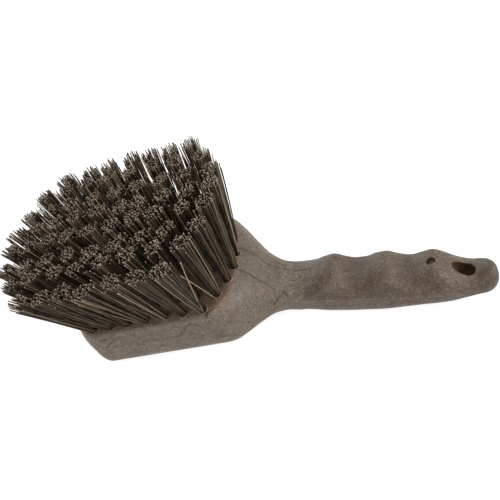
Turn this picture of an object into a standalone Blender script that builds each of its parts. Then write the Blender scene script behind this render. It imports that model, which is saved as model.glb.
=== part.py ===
"""A hand scrub brush: a foamed plastic block and handle moulded in one piece, with eight rows of bristle tufts.

The brush is drawn in its block's frame, in metres: the origin lies in the bristle face, +X runs towards the
handle's end and +Z along the bristles. An empty then lays the brush on its back, as it lies on a table.
"""

import math

import bmesh
import bpy
from mathutils import Matrix, Vector

# Block
BLOCK_WIDTH = 0.0708
BLOCK_THICKNESS = 0.0255
TOE_REACH = 0.0489
TOE_ROUND_LENGTH = 0.0220
HEEL_REACH = 0.038
TOE_TOP_EDGE_LENGTH = 0.003
TOE_TOP_EDGE_DROP = 0.005
TOE_BACK_EDGE_LENGTH = 0.006
TOE_BACK_EDGE_RISE = 0.005
TOP_EDGE_WIDTH = 0.0040
TOP_EDGE_HEIGHT = 0.0070
BACK_EDGE_WIDTH = 0.0086
BACK_EDGE_HEIGHT = 0.0105

# Shoulder, from the block's heel to the neck
SHOULDER_LENGTH = 0.034
NECK_WIDTH = 0.0261
NECK_TOP_DROP = 0.0206
NECK_SIDE_DROP = 0.0284
NECK_BACK_DROP = 0.0380

# Handle, raised away from the bristles
HANDLE_LENGTH = 0.0937
GRIP_WIDTH = 0.0262
TAIL_WIDTH = 0.0184
CREST_LINE_FALL = 0.0208
NECK_HOLLOW_DEPTH = 0.0066
FINGER_GROOVE_DEPTH = 0.0055
TAIL_STEP_DEPTH = 0.0088
TAIL_END_DEPTH = 0.0055
SIDE_LINE_FALL = 0.0175
HANDLE_BACK_FALL = 0.0138
END_ROUND_LENGTH = 0.0086

# Hanging hole, an egg with its narrow end towards the block, and the round dimple before it
HOLE_CENTRE_TO_END = 0.0129
HOLE_LENGTH = 0.0100
HOLE_WIDTH = 0.0076
HOLE_NARROW_WIDTH = 0.0046
DIMPLE_TO_END = 0.0281
DIMPLE_DIAMETER = 0.0044
DIMPLE_DEPTH = 0.0012

# Tuft field, which fans out evenly from a point near the block's middle
ROW_COUNT = 8
FIELD_MARGIN = 0.0064
TUFT_PITCH = 0.0106
FIELD_TOE_REACH = 0.0438
FIELD_TOE_BOW = 0.0178
FIELD_HEEL_REACH = 0.0486
FIELD_HEEL_BOW = 0.0126
TRIM_HEIGHT = 0.0439
FLARE_CENTRE = 0.0084
FLARE_AT_HEEL = 0.0080
FLARE_AT_SIDE = 0.0132

# One tuft, the hole it sits in and its slice of the bristle face
TUFT_DIAMETER = 0.0044
TUFT_ROOT_DEPTH = 0.0135
STRANDS_IN_RING = 5
STRAND_ROOT_DIAMETER = 0.0013
STRAND_TIP_DIAMETER = 0.0019
STRAND_RING_ROOT_RADIUS = 0.0014
STRAND_RING_TIP_RADIUS = 0.0042
STRAND_SEAT = 0.001
BACKING_THICKNESS = 0.003
BACKING_RIM = 0.0005

CLEARANCE = 0.0003
CUT_OVERRUN = 0.004

# Curves, as (position share, value share) pairs
SHOULDER_WIDTH_SHARES = ((0, 1), (0.15, 0.90), (0.30, 0.635), (0.47, 0.36), (0.65, 0.12), (0.85, 0.005), (1, 0))
SHOULDER_TOP_SHARES = ((0, 0), (0.15, 0.005), (0.30, 0.035), (0.47, 0.20), (0.65, 0.53), (0.85, 0.86), (1, 1))
SHOULDER_BACK_SHARES = ((0, 0), (0.15, 0.18), (0.30, 0.33), (0.47, 0.48), (0.65, 0.65), (0.85, 0.85), (1, 1))
ROUND_EDGE_SHARES = ((0, 0), (0.15, 0.09), (0.30, 0.30), (0.65, 0.76), (1, 1))
GRIP_WIDTH_SHARES = ((0, 0), (0.04, 0), (0.20, 0.97), (0.34, 0.96), (0.48, 0.97), (0.62, 0.92))
TAIL_WIDTH_SHARES = ((0.62, 0), (0.72, 0.16), (0.82, 0.62), (0.92, 1))
HANDLE_BACK_SHARES = ((0, 0), (0.30, 0.56), (0.62, 0.87), (0.80, 1))

# Other shares
TOE_ROUND_POWER = 1.43
CREST_SHARES = (0.23, 0.477, 0.712)
GROOVE_SHARES = (0.31, 0.59)
TAIL_SHARE = 0.87
HANDLE_TOP_POWER = 2.6
HANDLE_BACK_ROUND_WIDTH_SHARE = 0.7
HANDLE_BACK_ROUND_HEIGHT_SHARE = 0.75
END_DEPTH_POWER = 3
ELLIPSE_POWER = 2
NOSE_CAP_SHARE = 0.985
END_CAP_SHARE = 0.97

# Fineness of the meshes
CORNER_STEPS = 6
TOE_STATIONS = 9
SHOULDER_STATIONS = 9
HANDLE_STATIONS = 24
END_STATIONS = 5
ROUND_SIDES = 16
TUFT_SIDES = 8
STRAND_SIDES = 4
SMOOTH_ANGLE = math.radians(40)
FLAT_ANGLE = math.radians(1)

# Places along the block's X axis
TOE_ROUND_END = TOE_ROUND_LENGTH - TOE_REACH
NECK = HEEL_REACH + SHOULDER_LENGTH
HANDLE_END = NECK + HANDLE_LENGTH
END_ROUND_START = HANDLE_END - END_ROUND_LENGTH

# The tuft field between its two outer rows
FIELD_WIDTH = BLOCK_WIDTH - 2 * FIELD_MARGIN


def clear_scene():
    for thing in list(bpy.data.objects):
        bpy.data.objects.remove(thing, do_unlink=True)


def new_collection(name):
    collection = bpy.data.collections.new(name)
    bpy.context.scene.collection.children.link(collection)
    return collection


def new_material(name, colour, roughness, metallic):
    material = bpy.data.materials.new(name)
    material.use_nodes = True
    shader = material.node_tree.nodes["Principled BSDF"]
    shader.inputs["Base Color"].default_value = (*colour, 1)
    shader.inputs["Roughness"].default_value = roughness
    shader.inputs["Metallic"].default_value = metallic
    return material


def new_object(name, mesh, collection, material):
    """An object made of the bmesh, which is freed. Without a material it is a cutter."""
    bmesh.ops.recalc_face_normals(mesh, faces=mesh.faces)
    data = bpy.data.meshes.new(name)
    mesh.to_mesh(data)
    mesh.free()
    made = bpy.data.objects.new(name, data)
    collection.objects.link(made)
    if material:
        data.materials.append(material)
        data.shade_smooth()
        data.set_sharp_from_angle(angle=SMOOTH_ANGLE)
    else:
        made.hide_render = True
        made.display_type = "WIRE"
    return made


def add_boolean(target, tool, operation):
    modifier = target.modifiers.new(tool.name, "BOOLEAN")
    modifier.operation = operation
    modifier.object = tool


def blend(first, second, share):
    return first + (second - first) * share


def curve_at(table, at):
    """A curve through a table of (position, value) pairs that is level at both ends and never overshoots."""
    if at <= table[0][0]:
        return table[0][1]
    if at >= table[-1][0]:
        return table[-1][1]
    spans = [after[0] - before[0] for before, after in zip(table, table[1:])]
    rises = [after[1] - before[1] for before, after in zip(table, table[1:])]
    tangents = [0.0]
    for span, next_span, rise, next_rise in zip(spans, spans[1:], rises, rises[1:]):
        if rise * next_rise <= 0:
            tangents.append(0.0)
            continue
        weight = 2 * next_span + span
        next_weight = next_span + 2 * span
        tangents.append((weight + next_weight) / (weight * span / rise + next_weight * next_span / next_rise))
    tangents.append(0.0)
    k = max(i for i in range(len(spans)) if table[i][0] <= at)
    t = (at - table[k][0]) / spans[k]
    level = table[k][1] + rises[k] * t**2 * (3 - 2 * t)
    leaving = tangents[k] * spans[k] * t * (1 - t) ** 2
    arriving = tangents[k + 1] * spans[k] * t**2 * (1 - t)
    return level + leaving - arriving


def grip_depths():
    """How far the handle's bristle side lies under its line of crests, along the handle."""
    first, middle, last = CREST_SHARES
    return (
        (0, NECK_HOLLOW_DEPTH),
        (first, 0),
        (GROOVE_SHARES[0], FINGER_GROOVE_DEPTH),
        (middle, 0),
        (GROOVE_SHARES[1], FINGER_GROOVE_DEPTH),
        (last, 0),
        (TAIL_SHARE, TAIL_STEP_DEPTH),
        (1, TAIL_END_DEPTH),
    )


def into_end(x):
    """How far x is into the round of the handle's end, as a share of its length."""
    return max(0, (x - END_ROUND_START) / END_ROUND_LENGTH)


def end_depth(x):
    """The share of the handle's depth that its round end leaves at x."""
    return (1 - into_end(x) ** END_DEPTH_POWER) ** (1 / END_DEPTH_POWER)


def half_width(x):
    if x < TOE_ROUND_END:
        into = (TOE_ROUND_END - x) / TOE_ROUND_LENGTH
        return BLOCK_WIDTH / 2 * (1 - into**TOE_ROUND_POWER) ** (1 / TOE_ROUND_POWER)
    if x < NECK:
        along = (x - HEEL_REACH) / SHOULDER_LENGTH
        return blend(NECK_WIDTH, BLOCK_WIDTH, curve_at(SHOULDER_WIDTH_SHARES, along)) / 2
    along = (x - NECK) / HANDLE_LENGTH
    grip = blend(NECK_WIDTH, GRIP_WIDTH, curve_at(GRIP_WIDTH_SHARES, along))
    width = blend(grip, TAIL_WIDTH, curve_at(TAIL_WIDTH_SHARES, along))
    return width / 2 * math.sqrt(1 - into_end(x) ** 2)


def toe_edge(x, length, height):
    """How far the toe's rounded edge stands back from the block's face at x."""
    into = 1 - min(1, (x + TOE_REACH) / length)
    return height * (1 - math.sqrt(1 - into**2))


def top_and_back(x):
    """The heights of the bristle side and of the back at x."""
    if x < HEEL_REACH:
        top = -toe_edge(x, TOE_TOP_EDGE_LENGTH, TOE_TOP_EDGE_DROP)
        back = toe_edge(x, TOE_BACK_EDGE_LENGTH, TOE_BACK_EDGE_RISE) - BLOCK_THICKNESS
        return top, back
    if x < NECK:
        along = (x - HEEL_REACH) / SHOULDER_LENGTH
        top = -NECK_TOP_DROP * curve_at(SHOULDER_TOP_SHARES, along)
        back = -blend(BLOCK_THICKNESS, NECK_BACK_DROP, curve_at(SHOULDER_BACK_SHARES, along))
        return top, back
    along = (x - NECK) / HANDLE_LENGTH
    crest_line = NECK_HOLLOW_DEPTH - NECK_TOP_DROP - CREST_LINE_FALL * along
    top = crest_line - curve_at(grip_depths(), along)
    back = -NECK_BACK_DROP - HANDLE_BACK_FALL * curve_at(HANDLE_BACK_SHARES, along)
    middle = (top + back) / 2
    return blend(middle, top, end_depth(x)), blend(middle, back, end_depth(x))


def side_line(x, top, back):
    """The height of the handle's widest line at x, which runs straight and closes in the round end."""
    line = -NECK_SIDE_DROP - SIDE_LINE_FALL * (x - NECK) / HANDLE_LENGTH
    return blend((top + back) / 2, line, end_depth(x))


def corner(width, height, power):
    """A quarter of an ellipse, or of a squarer round, as (inset from the side, inset from the face) pairs."""
    turns = [math.pi / 2 * k / CORNER_STEPS for k in range(CORNER_STEPS + 1)]
    outs = [(math.cos(turn) ** (2 / power), math.sin(turn) ** (2 / power)) for turn in turns]
    return [(width * (1 - out), height * (1 - up)) for out, up in outs]


def section(x):
    """The body's outline across X: four rounded corners, of which the upper two meet along the handle."""
    side = half_width(x)
    top, back = top_and_back(x)
    line = side_line(x, top, back)
    half_height = (top - back) / 2
    roundness = curve_at(ROUND_EDGE_SHARES, (x - HEEL_REACH) / SHOULDER_LENGTH)
    top_corner = corner(
        blend(min(TOP_EDGE_WIDTH, side), side, roundness),
        blend(min(TOP_EDGE_HEIGHT, half_height), top - line, roundness),
        blend(ELLIPSE_POWER, HANDLE_TOP_POWER, roundness),
    )
    back_corner = corner(
        blend(min(BACK_EDGE_WIDTH, side), side * HANDLE_BACK_ROUND_WIDTH_SHARE, roundness),
        blend(min(BACK_EDGE_HEIGHT, half_height), (line - back) * HANDLE_BACK_ROUND_HEIGHT_SHARE, roundness),
        ELLIPSE_POWER,
    )
    far_top = [(x, side - a, top - b) for a, b in top_corner]
    near_top = [(x, a - side, top - b) for a, b in reversed(top_corner)]
    near_back = [(x, a - side, back + b) for a, b in back_corner]
    far_back = [(x, side - a, back + b) for a, b in reversed(back_corner)]
    return far_top + near_top + near_back + far_back


def stations():
    """Places along X where the body's section is drawn, closer together where it turns fast."""
    turns = [math.pi / 2 * k / TOE_STATIONS for k in range(TOE_STATIONS)]
    toe = [TOE_ROUND_END - TOE_ROUND_LENGTH * NOSE_CAP_SHARE * math.cos(turn) for turn in turns]
    shoulder = [HEEL_REACH + SHOULDER_LENGTH * k / SHOULDER_STATIONS for k in range(SHOULDER_STATIONS)]
    grip_length = HANDLE_LENGTH - END_ROUND_LENGTH
    grip = [NECK + grip_length * k / HANDLE_STATIONS for k in range(HANDLE_STATIONS)]
    turns = [math.asin(END_CAP_SHARE) * k / END_STATIONS for k in range(END_STATIONS + 1)]
    end = [HANDLE_END - END_ROUND_LENGTH * (1 - math.sin(turn)) for turn in turns]
    return [*toe, TOE_ROUND_END, *shoulder, *grip, *end]


def body_mesh():
    """The block and handle's skin, lofted through its sections."""
    mesh = bmesh.new()
    rings = [[mesh.verts.new(point) for point in section(x)] for x in stations()]
    for ring, next_ring in zip(rings, rings[1:]):
        for k in range(len(ring)):
            mesh.faces.new((ring[k - 1], ring[k], next_ring[k], next_ring[k - 1]))
    mesh.faces.new(rings[0])
    mesh.faces.new(rings[-1])
    return mesh


def add_rod(mesh, low, high, low_diameter, high_diameter, sides):
    """A rod or cone between two points."""
    way = high - low
    bmesh.ops.create_cone(
        mesh,
        cap_ends=True,
        segments=sides,
        radius1=low_diameter / 2,
        radius2=high_diameter / 2,
        depth=way.length,
        matrix=Matrix.Translation((low + high) / 2) @ way.to_track_quat("Z", "Y").to_matrix().to_4x4(),
    )


def ring_points(centre, radius, count):
    """Points round a centre, in the plane of X and Y."""
    turns = [math.tau * (k + 0.5) / count for k in range(count)]
    return [centre + Vector((math.cos(turn), math.sin(turn), 0)) * radius for turn in turns]


def prism_mesh(points, low, high):
    """A prism between two heights over the outline that encloses the points."""
    mesh = bmesh.new()
    for point in points:
        for z in (low, high):
            mesh.verts.new((point.x, point.y, z))
    bmesh.ops.convex_hull(mesh, input=mesh.verts)
    inner = [vertex for vertex in mesh.verts if not vertex.link_faces]
    bmesh.ops.delete(mesh, geom=inner, context="VERTS")
    bmesh.ops.dissolve_limit(mesh, angle_limit=FLAT_ANGLE, verts=mesh.verts, edges=mesh.edges)
    return mesh


class Tuft:
    """One tuft: the middle of its root in the bristle face, the middle of its tip, and the way between them."""

    def __init__(self, x, y):
        flare_x = FLARE_AT_HEEL * (x - FLARE_CENTRE) / (FIELD_HEEL_REACH - FLARE_CENTRE)
        flare_y = FLARE_AT_SIDE * y / (FIELD_WIDTH / 2)
        self.root = Vector((x, y, 0))
        self.tip = Vector((x + flare_x, y + flare_y, TRIM_HEIGHT))
        self.way = (self.tip - self.root).normalized()

    def below_face(self, depth):
        """The point of the tuft's middle line that lies this far under the bristle face."""
        return self.root - self.way * (depth / self.way.z)


def tuft_rows():
    """The tufts of each row, near side first. The field is bowed at the toe and at the heel."""
    rows = []
    for k in range(ROW_COUNT):
        across = 2 * k / (ROW_COUNT - 1) - 1
        start = FIELD_TOE_BOW * across**2 - FIELD_TOE_REACH
        stop = FIELD_HEEL_REACH - FIELD_HEEL_BOW * across**2
        gaps = round((stop - start) / TUFT_PITCH)
        rows.append([Tuft(blend(start, stop, n / gaps), FIELD_WIDTH / 2 * across) for n in range(gaps + 1)])
    return rows


def field_outline(rows, rim):
    """Points a rim's width outside the tufts at the ends of the rows."""
    ends = [tuft.root for row in rows for tuft in (row[0], row[-1])]
    return [point for end in ends for point in ring_points(end, TUFT_DIAMETER / 2 + rim, ROUND_SIDES)]


def keep_side(mesh, y, kept):
    """Cuts the mesh at y and keeps its upper or lower side, closed again."""
    cut = bmesh.ops.bisect_plane(
        mesh,
        geom=[*mesh.verts, *mesh.edges, *mesh.faces],
        plane_co=(0, y, 0),
        plane_no=(0, 1, 0),
        clear_inner=kept == "UPPER",
        clear_outer=kept == "LOWER",
    )
    rim = [edge for edge in cut["geom_cut"] if isinstance(edge, bmesh.types.BMEdge)]
    bmesh.ops.edgeloop_fill(mesh, edges=rim)


def add_tuft(mesh, tuft):
    """A tuft's strands, fanned out from their hole, and the root that fills the hole."""
    foot = tuft.below_face(STRAND_SEAT)
    lows = [foot, *ring_points(foot, STRAND_RING_ROOT_RADIUS, STRANDS_IN_RING)]
    highs = [tuft.tip, *ring_points(tuft.tip, STRAND_RING_TIP_RADIUS, STRANDS_IN_RING)]
    for low, high in zip(lows, highs):
        add_rod(mesh, low, high, STRAND_ROOT_DIAMETER, STRAND_TIP_DIAMETER, STRAND_SIDES)
    deep = tuft.below_face(TUFT_ROOT_DEPTH)
    shallow = tuft.below_face(BACKING_THICKNESS / 2)
    add_rod(mesh, deep, shallow, TUFT_DIAMETER, TUFT_DIAMETER, TUFT_SIDES)


def make_bristle_row(number, rows, brush, cutters, material):
    """One row of tufts, in one piece with its slice of the bristle face."""
    mesh = prism_mesh(field_outline(rows, BACKING_RIM), -BACKING_THICKNESS, 0)
    pitch = FIELD_WIDTH / (ROW_COUNT - 1)
    middle = rows[number][0].root.y
    if number > 0:
        keep_side(mesh, middle - (pitch - CLEARANCE) / 2, "UPPER")
    if number < ROW_COUNT - 1:
        keep_side(mesh, middle + (pitch - CLEARANCE) / 2, "LOWER")
    row = new_object(f"bristle_row_{number + 1}", mesh, brush, material)
    tufts = bmesh.new()
    for tuft in rows[number]:
        add_tuft(tufts, tuft)
    add_boolean(row, new_object(f"tufts_{number + 1}", tufts, cutters, None), "UNION")
    return row


def field_pocket(rows, cutters):
    """The recess in the block that the slices of the bristle face lie in."""
    outline = field_outline(rows, BACKING_RIM + CLEARANCE)
    mesh = prism_mesh(outline, -BACKING_THICKNESS - CLEARANCE, CUT_OVERRUN)
    return new_object("field_pocket", mesh, cutters, None)


def tuft_holes(rows, cutters):
    """A blind hole for each tuft, drilled the way the tuft leans."""
    mesh = bmesh.new()
    wide = TUFT_DIAMETER + 2 * CLEARANCE
    for row in rows:
        for tuft in row:
            deep = tuft.below_face(TUFT_ROOT_DEPTH + CLEARANCE)
            shallow = tuft.below_face(BACKING_THICKNESS / 2)
            add_rod(mesh, deep, shallow, wide, wide, TUFT_SIDES)
    return new_object("tuft_holes", mesh, cutters, None)


def hanging_hole(tilt, cutters):
    """The egg-shaped hole near the handle's end, upright when the brush lies on its back."""
    x = HANDLE_END - HOLE_CENTRE_TO_END
    top, back = top_and_back(x)
    reach = (top - back) / 2 + CUT_OVERRUN
    radius = HOLE_WIDTH / 2
    narrow = Vector((radius + HOLE_NARROW_WIDTH / 2 - HOLE_LENGTH, 0, 0))
    narrow_end = ring_points(narrow, HOLE_NARROW_WIDTH / 2, ROUND_SIDES)
    mesh = prism_mesh([*narrow_end, *ring_points(Vector(), radius, ROUND_SIDES)], -reach, reach)
    place = Matrix.Translation((x, 0, (top + back) / 2))
    bmesh.ops.transform(mesh, matrix=place @ Matrix.Rotation(-tilt, 4, "Y"), verts=mesh.verts)
    return new_object("hanging_hole", mesh, cutters, None)


def dimple(cutters):
    """The shallow round mark on the last crest of the grip."""
    x = HANDLE_END - DIMPLE_TO_END
    top = top_and_back(x)[0]
    low = Vector((x, 0, top - DIMPLE_DEPTH))
    high = Vector((x, 0, top + CUT_OVERRUN))
    mesh = bmesh.new()
    add_rod(mesh, low, high, DIMPLE_DIAMETER, DIMPLE_DIAMETER, ROUND_SIDES)
    return new_object("dimple", mesh, cutters, None)


def table_tilt(points):
    """The turn about Y that brings the toe's back edge and the handle's back onto one level."""
    block = [point for point in points if point.x < HEEL_REACH]
    handle = [point for point in points if point.x > NECK]
    slopes = [min((end.z - edge.z) / (end.x - edge.x) for end in handle) for edge in block]
    return math.atan(max(slopes))


def lay_on_back(things, parts, tilt):
    """Parents everything to an empty that tilts the brush and centres it, with its lowest point at height zero."""
    bpy.context.view_layer.update()
    graph = bpy.context.evaluated_depsgraph_get()
    turn = Matrix.Rotation(tilt, 4, "Y")
    points = [turn @ vertex.co for part in parts for vertex in part.evaluated_get(graph).data.vertices]
    lows = [min(point[k] for point in points) for k in range(3)]
    highs = [max(point[k] for point in points) for k in range(3)]
    rest = bpy.data.objects.new("laid_on_its_back", None)
    bpy.context.scene.collection.objects.link(rest)
    rest.rotation_euler = (0, tilt, 0)
    rest.location = (-(lows[0] + highs[0]) / 2, -(lows[1] + highs[1]) / 2, -lows[2])
    for thing in things:
        thing.parent = rest


def main():
    clear_scene()
    brush = new_collection("scrub_brush")
    cutters = new_collection("cutters")
    plastic = new_material("foamed_plastic", (0.156, 0.119, 0.095), 0.55, 0)
    bristle = new_material("bristle", (0.045, 0.034, 0.023), 0.45, 0)

    skin = body_mesh()
    tilt = table_tilt([vertex.co.copy() for vertex in skin.verts])
    body = new_object("block_and_handle", skin, brush, plastic)

    rows = tuft_rows()
    for tool in (field_pocket(rows, cutters), tuft_holes(rows, cutters), hanging_hole(tilt, cutters), dimple(cutters)):
        add_boolean(body, tool, "DIFFERENCE")
    bristle_rows = [make_bristle_row(number, rows, brush, cutters, bristle) for number in range(ROW_COUNT)]

    lay_on_back([*brush.objects, *cutters.objects], [body, *bristle_rows], tilt)


main()
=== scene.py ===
import math
import random

import bmesh
import bpy
from mathutils import Euler, Matrix, Vector
from mathutils.bvhtree import BVHTree


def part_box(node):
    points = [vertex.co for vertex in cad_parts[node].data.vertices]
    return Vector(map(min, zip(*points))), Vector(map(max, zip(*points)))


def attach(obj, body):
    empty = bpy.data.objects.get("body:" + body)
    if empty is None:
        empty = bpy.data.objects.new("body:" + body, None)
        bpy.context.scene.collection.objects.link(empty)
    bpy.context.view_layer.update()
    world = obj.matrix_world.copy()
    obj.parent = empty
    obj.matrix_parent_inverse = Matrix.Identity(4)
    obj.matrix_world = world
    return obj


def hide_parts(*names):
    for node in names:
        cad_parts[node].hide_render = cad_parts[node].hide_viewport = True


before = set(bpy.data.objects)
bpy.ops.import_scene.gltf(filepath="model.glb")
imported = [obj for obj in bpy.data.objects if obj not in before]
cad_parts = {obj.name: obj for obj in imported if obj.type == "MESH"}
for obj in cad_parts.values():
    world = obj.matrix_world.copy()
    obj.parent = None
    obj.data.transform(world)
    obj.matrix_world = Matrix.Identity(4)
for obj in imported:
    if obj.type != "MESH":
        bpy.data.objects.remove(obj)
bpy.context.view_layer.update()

# The brush's own sizes, in metres in the block's frame: the origin lies in the bristle face, +X runs towards
# the handle's end and +Z along the bristles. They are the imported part's, with a few set nearer to the
# photograph.
BLOCK_WIDTH = 0.0708
BLOCK_THICKNESS = 0.0255
TOE_REACH = 0.0489
TOE_ROUND_LENGTH = 0.0220
HEEL_REACH = 0.038
TOE_TOP_EDGE_LENGTH = 0.003
TOE_TOP_EDGE_DROP = 0.005
TOE_BACK_EDGE_LENGTH = 0.006
TOE_BACK_EDGE_RISE = 0.005
TOP_EDGE_WIDTH = 0.0040
TOP_EDGE_HEIGHT = 0.0070
BACK_EDGE_WIDTH = 0.0086
BACK_EDGE_HEIGHT = 0.0105
SHOULDER_LENGTH = 0.034
NECK_WIDTH = 0.0261
NECK_TOP_DROP = 0.0220
NECK_SIDE_DROP = 0.0256
NECK_BACK_DROP = 0.0380
HANDLE_LENGTH = 0.0937
GRIP_WIDTH = 0.0262
TAIL_WIDTH = 0.0184
CREST_LINE_FALL = 0.0208
NECK_HOLLOW_DEPTH = 0.0080
FINGER_GROOVE_DEPTH = 0.0060
TAIL_STEP_DEPTH = 0.0078
TAIL_END_DEPTH = 0.0030
SIDE_LINE_FALL = 0.0208
HANDLE_BACK_FALL = 0.0138
END_ROUND_LENGTH = 0.0086
HOLE_CENTRE_TO_END = 0.0129
HOLE_LENGTH = 0.0090
HOLE_WIDTH = 0.0077
HOLE_NARROW_WIDTH = 0.0070
DIMPLE_TO_END = 0.0281
DIMPLE_DIAMETER = 0.0044
DIMPLE_DEPTH = 0.0019
ROW_COUNT = 8
FIELD_MARGIN = 0.0064
TUFT_PITCH = 0.0106
FIELD_TOE_REACH = 0.0438
FIELD_TOE_BOW = 0.0178
FIELD_HEEL_REACH = 0.0486
FIELD_HEEL_BOW = 0.0126
TRIM_HEIGHT = 0.0439
FLARE_CENTRE = 0.0084
FLARE_AT_HEEL = 0.0080
FLARE_AT_TOE = 0.0118
FLARE_AT_SIDE = 0.0132
FAR_HEEL_PULL = 0.0034
FAR_HEEL_PULL_POWER = 4
FAR_TOE_PULL = 0.0040
HEEL_NARROWING_SHARE = 0.10
SHOULDER_WIDTH_SHARES = (
    (0, 1), (0.15, 0.90), (0.30, 0.680), (0.47, 0.383), (0.65, 0.12), (0.85, 0.005), (1, 0)
)
SHOULDER_TOP_SHARES = (
    (0, 0), (0.15, 0.005), (0.30, 0.035), (0.47, 0.20), (0.65, 0.53), (0.85, 0.86), (1, 1)
)
SHOULDER_BACK_SHARES = (
    (0, 0), (0.15, 0.18), (0.30, 0.33), (0.47, 0.48), (0.65, 0.65), (0.85, 0.85), (1, 1)
)
ROUND_EDGE_SHARES = ((0, 0), (0.15, 0.09), (0.30, 0.30), (0.65, 0.76), (1, 1))
GRIP_WIDTH_SHARES = ((0, 0), (0.04, 0), (0.20, 0.97), (0.34, 0.96), (0.48, 0.97), (0.62, 0.92))
TAIL_WIDTH_SHARES = ((0.62, 0), (0.72, 0.16), (0.82, 0.62), (0.92, 1))
HANDLE_BACK_SHARES = ((0, 0), (0.15, 0.36), (0.30, 0.625), (0.45, 0.81), (0.62, 0.84), (0.80, 1))
ROUND_POWER = 2
TOE_ROUND_POWER = 1.43
CREST_SHARES = (0.220, 0.486, 0.712)
GROOVE_SHARES = (0.31, 0.59)
TAIL_SHARE = 0.885
TAIL_DOME_SHARES = (0.70, 0.85)
TAIL_TOP_POWER = 1.9
HANDLE_TOP_POWER = 2.6
HANDLE_BACK_ROUND_WIDTH_SHARE = 0.7
HANDLE_BACK_ROUND_HEIGHT_SHARE = 0.75
TOE_ROUND_END = TOE_ROUND_LENGTH - TOE_REACH
NECK = HEEL_REACH + SHOULDER_LENGTH
HANDLE_END = NECK + HANDLE_LENGTH
END_ROUND_START = HANDLE_END - END_ROUND_LENGTH
FIELD_WIDTH = BLOCK_WIDTH - 2 * FIELD_MARGIN

# How the brush lies on its back
REST_TILT = math.radians(-8.128)

# Finer details of the skin
NOSE_CAP_SHARE = 0.9985
END_CAP_SHARE = 0.995
TOE_STATIONS = 34
BLOCK_STATIONS = 16
SHOULDER_STATIONS = 34
GRIP_STATIONS = 92
END_STATIONS = 14
CORNER_STEPS = 11
SHARP_ANGLE = math.radians(38)
LINE_AT_ORIGIN = SIDE_LINE_FALL * NECK / HANDLE_LENGTH - NECK_SIDE_DROP
PARTING_RISE = 0.41
PARTING_AT_ORIGIN = -0.0487
BEAD_HEIGHT = 0.00022
BEAD_HALF_WIDTH = 0.00038
BEAD_START = 0.058
BEAD_FULL = 0.068
BEAD_END = 0.160
BEAD_FADE_LENGTH = 0.006
BEAD_ROOM = 0.003
BEAD_MOST_SHARE = 0.9

# Tufts' holes and the burrs round them: levels are shares of the hole's radius and heights over the skin
HOLE_RADIUS = 0.0021
HOLE_DEPTH = 0.009
HOLE_SIDES = 20
HOLE_LEVELS = ((1.12, 0.0005), (1.10, 0.0), (1.03, -0.00015), (1.0, -0.0005))
LIP_LEVELS = ((1.07, -0.0004), (1.08, 0.00008), (1.13, 0.00020), (1.24, 0.00012), (1.30, -0.0002))
LIP_SWELLS = (0.7, 1.3)
LIP_WAVE = 0.45
WELD = 0.000001

# Tufts
FILAMENTS = 54
FILAMENT_RADIUS = 0.00027
FILAMENT_RADIUS_SHARES = (0.9, 1.12)
FILAMENT_SIDES = 5
FILAMENT_STEPS = 4
FILAMENT_SEAT = 0.006
FILAMENT_BOW = 0.0003
FILAMENT_OUTWARD_BOW = 0.0002
NOT_ALONG_FILAMENTS = Vector((0, 1, 0.1))
CUT_END_LENGTH = 0.0003
CUT_END_SWELL = 1.3
GOLDEN_TURN = math.pi * (3 - math.sqrt(5))
TUFT_ROOT_RADIUS = 0.00148
TUFT_TIP_RADIUS = 0.0047
TUFT_CORE_POWER = 0.88
TUFT_SPREADS = (0.92, 1.08)
OUTER_ROW_SPREAD = 1.08
TUFT_SQUASH = 0.20
TUFT_TWIST = 0.25
TUFT_LEAN = 0.0005
TRIM_WANDER = 0.0003
TIP_WANDER = 0.0004
LOOSE_SHARE = 0.14
LOOSE_SPREADS = (1.15, 1.6)
LAST_LOOSE_SPREADS = (1.15, 1.25)
LOOSE_DROPS = (0.0002, 0.0022)
SHADE_POWER = 3.6

# Stray filaments: their tuft's row and place, the pixel that shows their tip, and the tip's height over the
# bristle face
STRAYS = (
    (0, 6, (180.5, 263), 0.041),
    (1, 7, (181, 276), 0.034),
    (0, 4, (118, 293.7), 0.0425),
)
STRAY_STEPS = 6
STRAY_ROOT_WANDER = 0.001
STRAY_BOW = 0.0006
STRAY_SHADE = 0.95

# How far each row's tips have settled along and across the brush, in metres, in the middle of the row
ROW_LEANS = (
    (-0.0012, -0.0008),
    (-0.0028, 0.0030),
    (-0.0044, 0.0004),
    (-0.0032, 0.0022),
    (-0.0018, 0.0024),
    (-0.0020, 0.0026),
    (-0.0050, 0.0034),
    (-0.0018, 0.0020),
)
END_SETTLING_LOSS_SHARE = 0.55

# Hanging hole: levels are the outline's growth and its height, over the bristle side's skin or over the back
EGG_STEPS = 15
HOLE_MOUTH_OVERRUN = 0.010
HOLE_MOUTH_GROWTH = 0.0004
HOLE_MOUTH_LEVELS = ((HOLE_MOUTH_GROWTH, 0.0001), (0.00012, -0.0002), (0.0, -0.0007))
HOLE_BACK_LEVELS = ((0, 0.0010), (0.0002, 0.0003), (0.0008, -0.0009))
HOLE_MOUTH_PASSES = 4

# Dimple: levels are shares of its radius and heights over the skin
DIMPLE_SIDES = 28
DIMPLE_LEVELS = ((1.08, 0.0006), (1.04, 0.00003), (1.0, -0.0001), (0.96, -DIMPLE_DEPTH), (0.3, -DIMPLE_DEPTH))
DIMPLE_WALL = 2

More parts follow.
